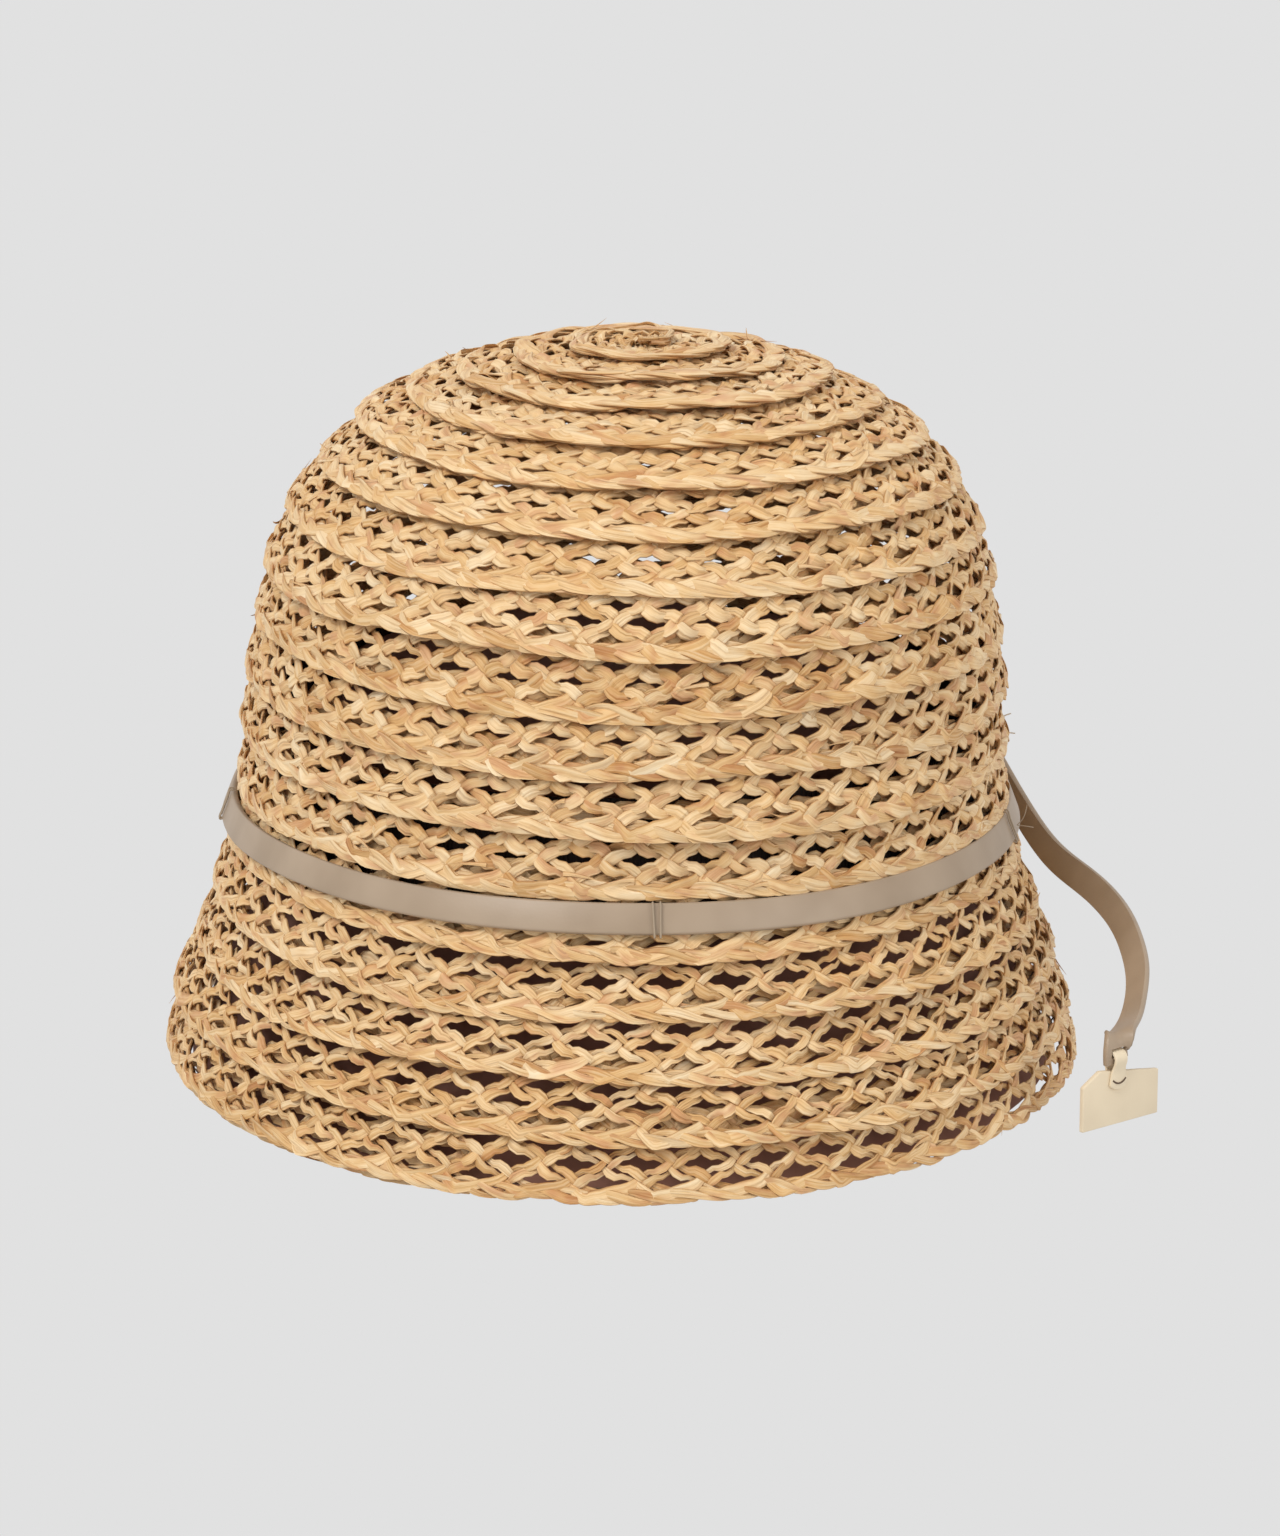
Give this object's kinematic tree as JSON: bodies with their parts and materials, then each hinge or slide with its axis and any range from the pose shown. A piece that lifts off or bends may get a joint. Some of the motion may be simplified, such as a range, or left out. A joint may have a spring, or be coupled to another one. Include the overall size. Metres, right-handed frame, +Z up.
{
  "type": "straw sun hat",
  "caption": "Bucket-shaped sun hat of coiled openwork straw plait, with a narrow leather band, a hanging strap end and a small leather tag.",
  "frame": {"origin": "centre of the head opening, on the plane of the brim's lower edge", "axes": "+Z up through the crown, -Y is the front of the hat, +X is the wearer's left"},
  "size_m": [0.2199, 0.2444, 0.1615],
  "materials": {
    "straw": "flat split raffia straw, plaited, satin",
    "band_leather": "greige satin leather, folded edges",
    "tag_leather": "smooth cream vegetable-tanned leather",
    "grosgrain": "dark brown ribbed grosgrain ribbon",
    "tack_thread": "waxed thread",
    "sewing_thread": "straw-coloured sewing thread"
  },
  "bodies": {
    "shell": {"crown_tip": "straw", "crown_row_01": "straw", "crown_row_02": "straw", "crown_row_03": "straw", "crown_row_04": "straw", "crown_row_05": "straw", "crown_row_06": "straw", "crown_row_07": "straw", "crown_row_08": "straw", "crown_row_09": "straw", "crown_row_10": "straw", "crown_row_11": "straw", "brim_row_1": "straw", "brim_row_2": "straw", "brim_row_3": "straw", "brim_row_4": "straw", "brim_row_5": "straw", "lap_thread": "sewing_thread", "hat_band": "band_leather", "band_tacks": "tack_thread", "sweatband": "grosgrain", "sweatband_thread": "sewing_thread", "strap_anchor_thread": "tack_thread"},
    "strap": {"strap_tail": "band_leather"},
    "tag": {"tag": "tag_leather", "tag_tab": "tag_leather", "tag_stitch": "sewing_thread"}
  },
  "joints": [
    {"name": "strap_swing", "type": "hinge", "parent": "shell", "child": "strap", "pos_m": [0.08488, 0.04011, 0.05707], "axis": [0, 0, 1], "range_deg": [0, 40]},
    {"name": "tag_swing", "type": "hinge", "parent": "strap", "child": "tag", "pos_m": [0.10618, -0.06708, 0.01531], "axis": [0.7683, 0.6401, 0], "range_deg": [-30, 30]}
  ]
}
